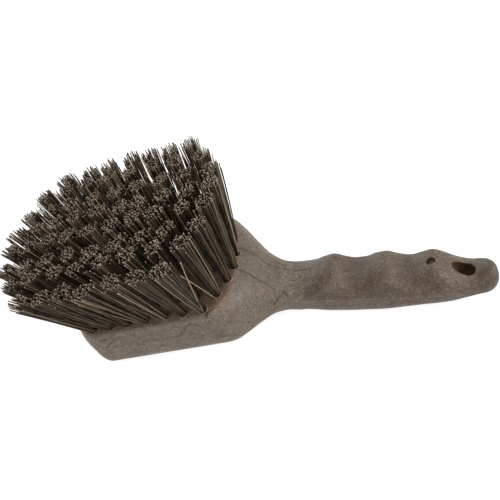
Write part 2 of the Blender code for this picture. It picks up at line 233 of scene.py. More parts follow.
# Dark lines in the foam, as listed pixels of the photograph, with the two axes of their plane: partly the
# foam's flow lines, partly painted shade along creases and form edges.
# The first three pixels of a line make an arc, the third to the fifth make the next one, and so on.
SIDE_PLANE = (0, 2)
TOP_PLANE = (0, 1)
FLOW_AND_SHADE_LINE_PIXELS = (
    (SIDE_PLANE, ((107.4, 352.7), (113.7, 348), (121.6, 345.2), (131, 343.9), (144.5, 344.8))),
    (SIDE_PLANE, ((144.5, 344.8), (146.8, 348), (146, 353))),
    (SIDE_PLANE, ((105.8, 349.6), (112.1, 342.5), (121.6, 336.5))),
    (SIDE_PLANE, ((140.5, 336.2), (142.1, 340.9), (145.2, 341.2), (157, 339.7), (168.9, 337.7))),
    (SIDE_PLANE, ((157, 339.7), (168.9, 337.7), (178.4, 336))),
    (SIDE_PLANE, ((178.4, 336.2), (182.3, 332.2), (187.9, 325.1), (192.6, 323.9), (202, 327.5))),
    (SIDE_PLANE, ((192, 332.5), (200.5, 335), (213, 337.5), (226, 336.4), (238, 333.9))),
    (SIDE_PLANE, ((158.7, 351), (159.5, 347.2), (165.8, 344))),
    (TOP_PLANE, ((240.3, 270.3), (247, 273.1), (256.4, 278.8), (264, 283.1), (275.4, 290.7))),
    (TOP_PLANE, ((239.4, 248.5), (246, 250.4), (256.4, 254.8), (265.9, 262.7), (278.2, 267.9))),
    (TOP_PLANE, ((278.2, 267.9), (294.4, 270.3), (313.3, 267.9))),
    (TOP_PLANE, ((237, 236), (245.5, 235.4), (252.4, 238.9))),
    (SIDE_PLANE, ((274.4, 308), (277.8, 299.2), (288.7, 294.5))),
)
FLOW_AND_SHADE_LINE_HALF_WIDTH = 0.0008
FLOW_AND_SHADE_LINE_WOBBLE = 0.0012
FLOW_AND_SHADE_LINE_FADE_SHARES = (0.8, 1.1)

# Faint swirls in the foam
SWIRL_STRETCH = (0.55, 1.0, 1.35)
SWIRL_TURN = (0.2, 0.35, 0.5)
SWIRL_LINES = 9.0
SWIRL_LINE_WIDTH = 0.09
SWIRL_FADE = (0.070, 0.090)
SWIRLS_ON_HANDLE = 0.25

# Patches of painted shade on the grip's crests, on the tail and by the shoulder's crease: their middles and
# reaches in the block's frame
SHADE_PATCHES = (
    ((0.0905, 0.001, -0.0185), 0.0055),
    ((0.1385, -0.0105, -0.033), 0.0065),
    ((0.1145, -0.010, -0.028), 0.0060),
    ((0.0795, -0.012, -0.024), 0.0050),
    ((0.0400, -0.035, -0.012), 0.0050),
    ((0.1600, -0.006, -0.044), 0.0150),
)

# Places of the foam's other markings, and of the painted light and shade on it. Where there are four values,
# the marking starts at the first, is full from the second to the third and ends at the fourth.
ROOTS_ALONG = (-0.051, -0.048, 0.0485, 0.0515)
ROOTS_ACROSS = (-0.0330, -0.0300, 0.0140, 0.0240)
ROOTS_HEIGHTS = (-0.0035, -0.0010)
SPECKLE_CHANGE = (0.060, 0.085)
PARTING_ALONG = (0.048, 0.054, 0.146, 0.158)
SHADE_BAND_ALONG = (0.068, 0.084, 0.125, 0.148)
SHADE_BAND_HEIGHTS = (0.0005, 0.0025, 0.0040, 0.0100)
HANDLE_DARKENING_START = (0.070, 0.096)

# Stripes of painted highlight and painted shadow beside the parting line: their middle's height over it and
# their half width
RIDGE_HIGHLIGHT_STRIPE = (0.0001, 0.00055)
BEAD_SHADOW_STRIPE = (-0.0007, 0.0005)

# How strongly each marking, and each painted light or shade, covers the foam, on the block and on the handle
# where there are two values
TINT_SHARE = 0.30
GRAIN_SHARE = 0.46
ROOTS_BOUNCE_LIGHT_SHARE = 0.45
DARK_SPECK_SHARES = (0.56, 0.78)
PALE_SPECK_SHARES = (0.42, 0.72)
VEIN_AND_CREASE_SHADE_SHARE = 0.88
PATCH_SHADE_SHARE = 0.58
BEAD_SHADOW_SHARE = 0.55
RIDGE_HIGHLIGHT_SHARE = 0.72
SHADE_BAND_SHARE = 0.45

# Colours as they show, in 0 to 255
FOAM_DARK = (102, 86, 73)
FOAM_LIGHT = (128, 115, 100)
FOAM_REDDISH = (124, 102, 92)
FOAM_GREENISH = (110, 110, 96)
FOAM_GRAIN = (142, 129, 115)
# Painted warm bounce light on the bristle face between the tufts
ROOTS_BOUNCE_LIGHT_COLOUR = (156, 120, 97)
DARK_SPECK = (56, 43, 33)
PALE_SPECK = (184, 169, 152)
# Dark lines: the foam's flow lines, and painted shade along creases and form edges
VEIN_AND_CREASE_SHADE_COLOUR = (58, 44, 34)
# Painted shade in patches
PATCH_SHADE_COLOUR = (70, 54, 41)
# Painted shadow under the parting line's bead, and painted highlight on it
BEAD_SHADOW_COLOUR = (58, 46, 38)
RIDGE_HIGHLIGHT_COLOUR = (180, 163, 142)
# Painted shade in a band on the handle's near flank, over the parting line
SHADE_BAND_COLOUR = (74, 58, 45)
# How much darker the handle is made than the block
HANDLE_DARKENING = (222, 212, 206)
# Painted shade in the hanging hole and on the dimple's wall
HOLE_SHADE_COLOURS = ((66, 46, 25), (80, 58, 34))
# Painted highlight on the burrs round the tufts' holes
BURR_HIGHLIGHT_COLOURS = ((128, 110, 94), (190, 174, 156))
STRAND_COLOURS = ((27, 17, 8), (209, 186, 157))
# The cut ends: their own pale tone, with painted highlight
CUT_END_TONE_AND_HIGHLIGHT_COLOURS = ((140, 125, 110), (234, 218, 201))

# How much of a filament's tone comes from its own shade, and how much from streaks along it
FILAMENT_SHADE_SHARE = 0.84
FILAMENT_STREAK_SHARE = 0.12

# Photograph's camera, in the block's frame, in pixels, metres and degrees
PICTURE = 500
LENS_PIXELS = 659.0
SENSOR_WIDTH = 36
CLIP_RANGE = (0.01, 30)
CAMERA_PLACE = (0.1749725, -0.2109189, 0.2106218)
CAMERA_TURN = (44.56215, 23.75818, 6.66179)

# Studio, in metres and watts: each lamp's name, place, power and colour
FLOOR_REACH = 6
FLOOR_DROP = 0.0002
FLOOR_GREY = (0.70, 0.70, 0.70, 1)
FLOOR_GLOW = 0.80
WHITE = (1, 1, 1, 1)
WORLD_LIGHT = 0.12
LAMP_AIM = (0.0, 0.0, 0.02)
LAMP_SIZE = 0.45
LAMPS = (
    ("key", (0.94, 0.0, 0.36), 3.8, (1.0, 0.99, 0.97)),
    ("near_right", (0.29, -0.50, 0.84), 1.7, (1.0, 0.99, 0.97)),
    ("far_right", (0.29, 0.50, 0.84), 1.7, (1.0, 1.0, 1.0)),
    ("far_left", (-0.47, 0.81, 0.36), 2.0, (0.98, 0.99, 1.0)),
    ("near_left", (-0.47, -0.81, 0.36), 2.6, (0.99, 0.99, 1.0)),
)

SEED = 7
rng = random.Random(SEED)


def blend(first, second, share):
    return first + (second - first) * share


def smooth(low, high, at):
    share = min(1, max(0, (at - low) / (high - low)))
    return share * share * (3 - 2 * share)


def curve_at(table, at):
    """A curve through a table of (position, value) pairs that is level at both ends and never overshoots."""
    if at <= table[0][0]:
        return table[0][1]
    if at >= table[-1][0]:
        return table[-1][1]
    spans = [after[0] - before[0] for before, after in zip(table, table[1:])]
    rises = [after[1] - before[1] for before, after in zip(table, table[1:])]
    tangents = [0.0]
    for span, next_span, rise, next_rise in zip(spans, spans[1:], rises, rises[1:]):
        if rise * next_rise <= 0:
            tangents.append(0.0)
            continue
        weight = 2 * next_span + span
        next_weight = next_span + 2 * span
        steepness = weight * span / rise + next_weight * next_span / next_rise
        tangents.append((weight + next_weight) / steepness)
    tangents.append(0.0)
    k = max(i for i in range(len(spans)) if table[i][0] <= at)
    t = (at - table[k][0]) / spans[k]
    level = table[k][1] + rises[k] * t**2 * (3 - 2 * t)
    leaving = tangents[k] * spans[k] * t * (1 - t) ** 2
    arriving = tangents[k + 1] * spans[k] * t**2 * (1 - t)
    return level + leaving - arriving


GRIP_DEPTHS = (
    (0, NECK_HOLLOW_DEPTH),
    (0.10, 0.0059),
    (0.165, 0.0019),
    (CREST_SHARES[0], 0),
    (0.265, 0.0034),
    (GROOVE_SHARES[0], FINGER_GROOVE_DEPTH),
    (0.37, 0.0050),
    (0.43, 0.0012),
    (CREST_SHARES[1], 0),
    (0.53, 0.0030),
    (GROOVE_SHARES[1], FINGER_GROOVE_DEPTH),
    (0.65, 0.0031),
    (CREST_SHARES[2], 0),
    (TAIL_SHARE, TAIL_STEP_DEPTH),
    (1, TAIL_END_DEPTH),
)


def into_end(x):
    return max(0, (x - END_ROUND_START) / END_ROUND_LENGTH)


def end_depth(x):
    return (1 - into_end(x) ** 3) ** (1 / 3)


def half_width(x):
    if x < TOE_ROUND_END:
        into = (TOE_ROUND_END - x) / TOE_ROUND_LENGTH
        return BLOCK_WIDTH / 2 * (1 - into**TOE_ROUND_POWER) ** (1 / TOE_ROUND_POWER)
    if x < NECK:
        along = (x - HEEL_REACH) / SHOULDER_LENGTH
        return blend(NECK_WIDTH, BLOCK_WIDTH, curve_at(SHOULDER_WIDTH_SHARES, along)) / 2
    along = (x - NECK) / HANDLE_LENGTH
    grip = blend(NECK_WIDTH, GRIP_WIDTH, curve_at(GRIP_WIDTH_SHARES, along))
    width = blend(grip, TAIL_WIDTH, curve_at(TAIL_WIDTH_SHARES, along))
    return width / 2 * math.sqrt(1 - into_end(x) ** 2)


def toe_edge(x, length, height):
    into = 1 - min(1, (x + TOE_REACH) / length)
    return height * (1 - math.sqrt(1 - into**2))


def top_and_back(x):
    """The heights of the bristle side and of the back at x."""
    if x < HEEL_REACH:
        top = -toe_edge(x, TOE_TOP_EDGE_LENGTH, TOE_TOP_EDGE_DROP)
        back = toe_edge(x, TOE_BACK_EDGE_LENGTH, TOE_BACK_EDGE_RISE) - BLOCK_THICKNESS
        return top, back
    if x < NECK:
        along = (x - HEEL_REACH) / SHOULDER_LENGTH
        top = -NECK_TOP_DROP * curve_at(SHOULDER_TOP_SHARES, along)
        back = -blend(BLOCK_THICKNESS, NECK_BACK_DROP, curve_at(SHOULDER_BACK_SHARES, along))
        return top, back
    along = (x - NECK) / HANDLE_LENGTH
    crest_line = NECK_HOLLOW_DEPTH - NECK_TOP_DROP - CREST_LINE_FALL * along
    top = crest_line - curve_at(GRIP_DEPTHS, along)
    back = -NECK_BACK_DROP - HANDLE_BACK_FALL * curve_at(HANDLE_BACK_SHARES, along)
    middle = (top + back) / 2
    return blend(middle, top, end_depth(x)), blend(middle, back, end_depth(x))


def side_line(x, top, back):
    line = -NECK_SIDE_DROP - SIDE_LINE_FALL * (x - NECK) / HANDLE_LENGTH
    return blend((top + back) / 2, line, end_depth(x))


def roundness_at(x):
    """How far the body has turned from the flat block into the round handle at x."""
    return curve_at(ROUND_EDGE_SHARES, (x - HEEL_REACH) / SHOULDER_LENGTH)


def rounded_fall(share, power):
    """How far a rounded edge has fallen at a share of its width, as a share of its height."""
    return 1 - (1 - share**power) ** (1 / power)


def corner(width, height, power):
    turns = [math.pi / 2 * k / CORNER_STEPS for k in range(CORNER_STEPS + 1)]
    outs = [(math.cos(turn) ** (2 / power), math.sin(turn) ** (2 / power)) for turn in turns]
    return [(width * (1 - out), height * (1 - up)) for out, up in outs]


def section(x):
    """The body's outline across X, with the fine bead of the mould's parting line on both sides."""
    side = half_width(x)
    top, back = top_and_back(x)
    line = side_line(x, top, back)
    half_height = (top - back) / 2
    roundness = roundness_at(x)
    wide, high, power = edge_sizes(x)
    top_corner = corner(wide, high, power)
    back_corner = corner(
        blend(min(BACK_EDGE_WIDTH, side), side * HANDLE_BACK_ROUND_WIDTH_SHARE, roundness),
        blend(min(BACK_EDGE_HEIGHT, half_height), (line - back) * HANDLE_BACK_ROUND_HEIGHT_SHARE, roundness),
        ROUND_POWER,
    )
    half_bead = BEAD_HALF_WIDTH * min(1, half_height / BEAD_ROOM)
    fading = 1 - smooth(BEAD_END - BEAD_FADE_LENGTH, BEAD_END, x)
    bead = BEAD_HEIGHT * smooth(BEAD_START, BEAD_FULL, x) * fading
    above = wide * rounded_fall(min(BEAD_MOST_SHARE, half_bead / high), power)
    widest = top - high
    over = [(side - above, widest + half_bead), (side + bead, widest), (side, widest - half_bead)]
    far_top = [(side - a, top - b) for a, b in top_corner[1:]]
    far_back = [(side - a, back + b) for a, b in reversed(back_corner)]
    far = [*far_back, over[2], over[1], over[0], *far_top]
    ring = far + [(-y, z) for y, z in reversed(far)]
    return [(x, y, z) for y, z in ring]


def stations():
    """The places along X of the body's sections, closer where it curves more."""
    toe_turns = [math.pi / 2 * k / TOE_STATIONS for k in range(TOE_STATIONS)]
    toe = [TOE_ROUND_END - TOE_ROUND_LENGTH * NOSE_CAP_SHARE * math.cos(turn) for turn in toe_turns]
    block = [blend(TOE_ROUND_END, HEEL_REACH, k / BLOCK_STATIONS) for k in range(BLOCK_STATIONS)]
    shoulder = [blend(HEEL_REACH, NECK, k / SHOULDER_STATIONS) for k in range(SHOULDER_STATIONS)]
    grip = [blend(NECK, END_ROUND_START, k / GRIP_STATIONS) for k in range(GRIP_STATIONS)]
    end_turns = [math.asin(END_CAP_SHARE) * k / END_STATIONS for k in range(END_STATIONS + 1)]
    end = [HANDLE_END - END_ROUND_LENGTH * (1 - math.sin(turn)) for turn in end_turns]
    return [*toe, *block, *shoulder, *grip, *end]


def edge_sizes(x):
    """The width, height and power of the rounded edges between the bristle side and the sides at x."""
    top, back = top_and_back(x)
    side = half_width(x)
    roundness = roundness_at(x)
    wide = blend(min(TOP_EDGE_WIDTH, side), side, roundness)
    high = blend(min(TOP_EDGE_HEIGHT, (top - back) / 2), top - side_line(x, top, back), roundness)
    dome = smooth(*TAIL_DOME_SHARES, (x - NECK) / HANDLE_LENGTH)
    return wide, high, blend(ROUND_POWER, blend(HANDLE_TOP_POWER, TAIL_TOP_POWER, dome), roundness)


def surface_height(x, y):
    """The height of the bristle side at a point of it."""
    wide, high, power = edge_sizes(x)
    into = min(1, max(0, (abs(y) - half_width(x) + wide) / wide))
    return top_and_back(x)[0] - high * rounded_fall(into, power)


def mesh_object(name, mesh, rest):
    """An object at the origin whose mesh is laid as the brush lies."""
    bmesh.ops.recalc_face_normals(mesh, faces=mesh.faces)
    data = bpy.data.meshes.new(name)
    mesh.to_mesh(data)
    mesh.free()
    data.transform(rest)
    made = bpy.data.objects.new(name, data)
    bpy.context.scene.collection.objects.link(made)
    return made


def loft(mesh, rings, close_ends=True):
    """Skins rings of points, each of the same count, into the mesh."""
    made = [[mesh.verts.new(point) for point in ring] for ring in rings]
    for ring, after in zip(made, made[1:]):
        for k in range(len(ring)):
            mesh.faces.new((ring[k - 1], ring[k], after[k], after[k - 1]))
    if close_ends:
        mesh.faces.new(made[0])
        mesh.faces.new(made[-1])


class Tuft:
    """One tuft: its root's middle in the bristle face, its tip's middle, and the way between them."""

    def __init__(self, row, place, x, y, along):
        if x > FLARE_CENTRE:
            flare_x = FLARE_AT_HEEL * (x - FLARE_CENTRE) / (FIELD_HEEL_REACH - FLARE_CENTRE)
        else:
            flare_x = FLARE_AT_TOE * (x - FLARE_CENTRE) / (FIELD_TOE_REACH + FLARE_CENTRE)
        flare_y = FLARE_AT_SIDE * y / (FIELD_WIDTH / 2) * (1 - HEEL_NARROWING_SHARE * max(0, along))
        settled = 1 - END_SETTLING_LOSS_SHARE * along**2
        far = max(0, 2 * y / FIELD_WIDTH)
        flare_x -= FAR_TOE_PULL * max(0, -along) ** 2 * far
        flare_x -= FAR_HEEL_PULL * max(0, along) ** 2 * far**FAR_HEEL_PULL_POWER
        self.row = row
        self.place = place
        self.last = along == 1
        self.root = Vector((x, y, 0))
        self.tip = Vector((x + flare_x, y + flare_y, TRIM_HEIGHT))
        self.tip += Vector((*ROW_LEANS[row], 0)) * settled
        self.way = (self.tip - self.root).normalized()
        self.spin = rng.uniform(0, math.tau)


def tuft_rows():
    rows = []
    for k in range(ROW_COUNT):
        across = 2 * k / (ROW_COUNT - 1) - 1
        start = FIELD_TOE_BOW * across**2 - FIELD_TOE_REACH
        stop = FIELD_HEEL_REACH - FIELD_HEEL_BOW * across**2
        gaps = round((stop - start) / TUFT_PITCH)
        y = FIELD_WIDTH / 2 * across
        row = []
        for n in range(gaps + 1):
            share = n / gaps
            row.append(Tuft(k, n, blend(start, stop, share), y, 2 * share - 1))
        rows.append(row)
    return rows


def circle(centre, radius, count):
    turns = [math.tau * k / count for k in range(count)]
    return [centre + Vector((math.cos(turn), math.sin(turn), 0)) * radius for turn in turns]


def hole_ring(tuft, radius, rise, wave=0.0):
    """A ring round a tuft's root, a little over or under the skin that the hole is drilled in."""
    ring = []
    for k, point in enumerate(circle(tuft.root, radius, HOLE_SIDES)):
        turn = math.tau * k / HOLE_SIDES
        lift = rise * (1 + wave * math.sin(2 * turn + tuft.spin))
        height = surface_height(point.x, point.y) + lift
        ring.append(Vector((point.x, point.y, 0)) + tuft.way / tuft.way.z * height)
    return ring


def cut_away(body, cutter):
    """Cuts the cutter out of the body for good."""
    modifier = body.modifiers.new("cut", "BOOLEAN")
    modifier.operation = "DIFFERENCE"
    modifier.solver = "EXACT"
    modifier.material_mode = "TRANSFER"
    modifier.object = cutter
    bpy.context.view_layer.update()
    graph = bpy.context.evaluated_depsgraph_get()
    data = bpy.data.meshes.new_from_object(body.evaluated_get(graph))
    body.modifiers.clear()
    body.data = data
    bpy.data.objects.remove(cutter)


def join_in(body, other, material):
    """Joins another mesh into the body, in a material of its own."""
    count = len(body.data.polygons)
    mesh = bmesh.new()
    mesh.from_mesh(body.data)
    mesh.from_mesh(other.data)
    mesh.to_mesh(body.data)
    mesh.free()
    bpy.data.objects.remove(other)
    body.data.materials.append(material)
    for face in body.data.polygons[count:]:
        face.material_index = len(body.data.materials) - 1


def tuft_hole_cutter(rows, rest):
    mesh = bmesh.new()
    for tuft in (tuft for row in rows for tuft in row):
        rings = []
        for share, rise in HOLE_LEVELS:
            rings.append(hole_ring(tuft, HOLE_RADIUS * share, rise))
        deep = tuft.root - tuft.way * (HOLE_DEPTH / tuft.way.z)
        rings.append([deep + point - tuft.root for point in circle(tuft.root, HOLE_RADIUS, HOLE_SIDES)])
        loft(mesh, rings)
    return mesh_object("tuft_hole_cutter", mesh, rest)


def egg(grown, x_centre):
    """The hanging hole's outline, grown outwards: a wide round end, and a narrow one towards the block."""
    radius = HOLE_WIDTH / 2 + grown
    narrow = HOLE_NARROW_WIDTH / 2 + grown
    apart = HOLE_LENGTH - (HOLE_WIDTH + HOLE_NARROW_WIDTH) / 2
    split = math.acos((HOLE_NARROW_WIDTH - HOLE_WIDTH) / 2 / apart)
    wide_turns = [blend(-split, split, k / EGG_STEPS) for k in range(EGG_STEPS + 1)]
    narrow_turns = [blend(split, math.tau - split, k / EGG_STEPS) for k in range(EGG_STEPS + 1)]
    points = [(x_centre + radius * math.cos(turn), radius * math.sin(turn)) for turn in wide_turns]
    x_narrow = x_centre - apart
    points += [(x_narrow + narrow * math.cos(turn), narrow * math.sin(turn)) for turn in narrow_turns]
    return points


def hanging_hole_cutter(rest, materials):
    """The egg-shaped hole, with a soft mouth that follows the skin. It is upright as the brush lies."""
    x = HANDLE_END - HOLE_CENTRE_TO_END
    top, back = top_and_back(x)
    middle = (top + back) / 2
    lean = math.tan(-REST_TILT)
    rings = []
    over = top + HOLE_MOUTH_OVERRUN
    rings.append([(px - (over - middle) * lean, py, over) for px, py in egg(HOLE_MOUTH_GROWTH, x)])
    for grown, rise in HOLE_MOUTH_LEVELS:
        ring = []
        for px, py in egg(grown, x):
            height = top
            for _ in range(HOLE_MOUTH_PASSES):
                height = surface_height(px - (height - middle) * lean, py) + rise
            ring.append((px - (height - middle) * lean, py, height))
        rings.append(ring)
    lower = [(grown, back + rise) for grown, rise in HOLE_BACK_LEVELS]
    for grown, height in [(0, middle), *lower]:
        rings.append([(px - (height - middle) * lean, py, height) for px, py in egg(grown, x)])
    mesh = bmesh.new()
    loft(mesh, rings)
    cutter = mesh_object("hanging_hole_cutter", mesh, rest)
    for material in materials:
        cutter.data.materials.append(material)
    sides = len(egg(0, x))
    wall = len(HOLE_MOUTH_LEVELS)
    wall_end = wall + len(HOLE_BACK_LEVELS)
    # The wall faces take the darker material: painted shade in the hole.
    for face in cutter.data.polygons:
        face.material_index = int(wall <= face.index // sides < wall_end)
    return cutter


def dimple_cutter(rest, materials):
    """The shallow round mark on the last crest, dished in the skin."""
    x = HANDLE_END - DIMPLE_TO_END
    radius = DIMPLE_DIAMETER / 2
    rings = []
    for share, rise in DIMPLE_LEVELS:
        ring = []
        for k in range(DIMPLE_SIDES):
            turn = math.tau * k / DIMPLE_SIDES
            px = x + radius * share * math.cos(turn)
            py = radius * share * math.sin(turn)
            ring.append((px, py, surface_height(px, py) + rise))
        rings.append(ring)
    mesh = bmesh.new()
    loft(mesh, rings)
    cutter = mesh_object("dimple_cutter", mesh, rest)
    for material in materials:
        cutter.data.materials.append(material)
    # The wall ring takes the darker material: painted shade on the dimple's wall.
    for face in cutter.data.polygons:
        face.material_index = int(face.index // DIMPLE_SIDES == DIMPLE_WALL)
    return cutter


def lips(rows, rest):
    """Low burrs that the drill raised round the tufts' holes, as rings that stand in the skin."""
    mesh = bmesh.new()
    for tuft in (tuft for row in rows for tuft in row):
        swell = rng.uniform(*LIP_SWELLS)
        rings = []
        for share, rise in LIP_LEVELS:
            over_skin = rise > 0
            lift = rise * swell if over_skin else rise
            rings.append(hole_ring(tuft, HOLE_RADIUS * share, lift, LIP_WAVE if over_skin else 0.0))
        loft(mesh, [*rings, rings[0]], close_ends=False)
    bmesh.ops.remove_doubles(mesh, verts=mesh.verts, dist=WELD)
    return mesh_object("lips", mesh, rest)


def body_loft():
    """The body in the block's frame, before anything is cut in it."""
    mesh = bmesh.new()
    loft(mesh, [section(x) for x in stations()])
    return mesh


def make_body(rest, rows, materials):
    body = mesh_object("body", body_loft(), rest)
    body.data.materials.append(materials[0])
    holes = tuft_hole_cutter(rows, rest)
    holes.data.materials.append(materials[0])
    cut_away(body, holes)
    cut_away(body, dimple_cutter(rest, materials[:2]))
    cut_away(body, hanging_hole_cutter(rest, materials[:2]))
    # The burrs take a paler material: painted highlight.
    join_in(body, lips(rows, rest), materials[2])
    body.data.shade_smooth()
    body.data.set_sharp_from_angle(angle=SHARP_ANGLE)
    return body


def filament(mesh, shade_layer, points, shade, radius):
    """One bristle filament along its points, with a slightly swollen cut end on its second material."""
    spin = rng.uniform(0, math.tau)
    last = points[-1] - points[-2]
    points = [*points[:-1], points[-1] - last.normalized() * CUT_END_LENGTH, points[-1]]
    rings = []
    for k, point in enumerate(points):
        before = points[max(0, k - 1)]
        after = points[min(len(points) - 1, k + 1)]
        way = (after - before).normalized()
        across = way.cross(NOT_ALONG_FILAMENTS).normalized()
        other = way.cross(across)
        reach = radius * (CUT_END_SWELL if k == len(points) - 1 else 1)
        ring = []
        for n in range(FILAMENT_SIDES):
            turn = spin + math.tau * n / FILAMENT_SIDES
            vertex = mesh.verts.new(point + (across * math.cos(turn) + other * math.sin(turn)) * reach)
            vertex[shade_layer] = shade
            ring.append(vertex)
        rings.append(ring)
    for k, (ring, after) in enumerate(zip(rings, rings[1:])):
        for n in range(FILAMENT_SIDES):
            face = mesh.faces.new((ring[n - 1], ring[n], after[n], after[n - 1]))
            face.smooth = True
            face.material_index = int(k == len(rings) - 2)
    cap = mesh.faces.new(rings[-1])
    cap.material_index = 1
    mesh.faces.new(tuple(reversed(rings[0])))


def bowed(start, end, bend, steps):
    """Points from start to end on a line that swings out by the bend in its middle."""
    points = []
    for step in range(steps + 1):
        t = step / steps
        points.append(start.lerp(end, t) + bend * (4 * t * (1 - t)))
    return points


def tuft_filaments(mesh, shade_layer, tuft):
    turn_start = rng.uniform(0, math.tau)
    twist = rng.uniform(-TUFT_TWIST, TUFT_TWIST)
    spread = rng.uniform(*TUFT_SPREADS) * (OUTER_ROW_SPREAD if tuft.row in (0, ROW_COUNT - 1) else 1)
    squash = 0 if tuft.last else TUFT_SQUASH
    loose_spreads = LAST_LOOSE_SPREADS if tuft.last else LOOSE_SPREADS
    drift = Vector((rng.gauss(0, TUFT_LEAN), rng.gauss(0, TUFT_LEAN), rng.gauss(0, TRIM_WANDER)))
    for k in range(FILAMENTS):
        share = math.sqrt((k + 0.5) / FILAMENTS)
        turn = turn_start + GOLDEN_TURN * k
        out = Vector((math.cos(turn), math.sin(turn), 0))
        tip_out = Vector((math.cos(turn + twist), math.sin(turn + twist), 0))
        low = tuft.root - tuft.way * (FILAMENT_SEAT / tuft.way.z) + out * share * TUFT_ROOT_RADIUS
        reach = TUFT_TIP_RADIUS * share**TUFT_CORE_POWER * spread
        reach *= 1 + squash * math.sin(2 * turn + tuft.spin)
        drop = abs(rng.gauss(0, TRIM_WANDER))
        if rng.random() < LOOSE_SHARE:
            reach *= rng.uniform(*loose_spreads)
            drop += rng.uniform(*LOOSE_DROPS)
        high = tuft.tip + drift + tip_out * reach
        high += Vector((rng.gauss(0, TIP_WANDER), rng.gauss(0, TIP_WANDER), -drop))
        bend = Vector((rng.gauss(0, FILAMENT_BOW), rng.gauss(0, FILAMENT_BOW), 0))
        bend += out * share * FILAMENT_OUTWARD_BOW
        shade = rng.random() ** SHADE_POWER
        radius = FILAMENT_RADIUS * rng.uniform(*FILAMENT_RADIUS_SHARES)
        filament(mesh, shade_layer, bowed(low, high, bend, FILAMENT_STEPS), shade, radius)
    for row, place, pixel, height in STRAYS:
        if (row, place) != (tuft.row, tuft.place):
            continue
        x = rng.uniform(-STRAY_ROOT_WANDER, STRAY_ROOT_WANDER)
        y = rng.uniform(-STRAY_ROOT_WANDER, STRAY_ROOT_WANDER)
        low = tuft.root + Vector((x, y, -FILAMENT_SEAT))
        bend = Vector((rng.gauss(0, STRAY_BOW), rng.gauss(0, STRAY_BOW), 0))
        points = bowed(low, seen_at(pixel, height), bend, STRAY_STEPS)
        filament(mesh, shade_layer, points, STRAY_SHADE, FILAMENT_RADIUS)


def camera_matrix():
    """The camera's place in the block's frame."""
    turn = Euler([math.radians(angle) for angle in CAMERA_TURN])
    return Matrix.Translation(CAMERA_PLACE) @ turn.to_matrix().to_4x4()


def sight(pixel):
    """The camera's place and its way through a pixel of the photograph, in the block's frame."""
    u, v = pixel
    camera = camera_matrix()
    way = Vector(((u - PICTURE / 2) / LENS_PIXELS, (PICTURE / 2 - v) / LENS_PIXELS, -1))
    return camera.translation, camera.to_3x3() @ way


def seen_at(pixel, height):
    """The point at some height over the bristle face that the photograph shows at this pixel."""
    eye, way = sight(pixel)
    return eye + way * ((height - eye.z) / way.z)


def body_skin():
    """The body's skin, for finding where the camera's sight lines meet it."""
    mesh = body_loft()
    skin = BVHTree.FromBMesh(mesh)
    mesh.free()
    return skin


def make_bristles(rest, rows, materials):
    made = []
    for k, row in enumerate(rows):
        mesh = bmesh.new()
        layer = mesh.verts.layers.float.new("shade")
        for tuft in row:
            tuft_filaments(mesh, layer, tuft)
        piece = mesh_object(f"bristles_{k + 1}", mesh, rest)
        for material in materials:
            piece.data.materials.append(material)
        made.append(piece)
    return made


def linear(colour):
    """A colour given as it shows, in 0 to 255, in the shaders' linear values, by the sRGB curve."""
    values = []
    for value in colour:
        value /= 255
        values.append(value / 12.92 if value <= 0.04045 else ((value + 0.055) / 1.055) ** 2.4)
    return (*values, 1)


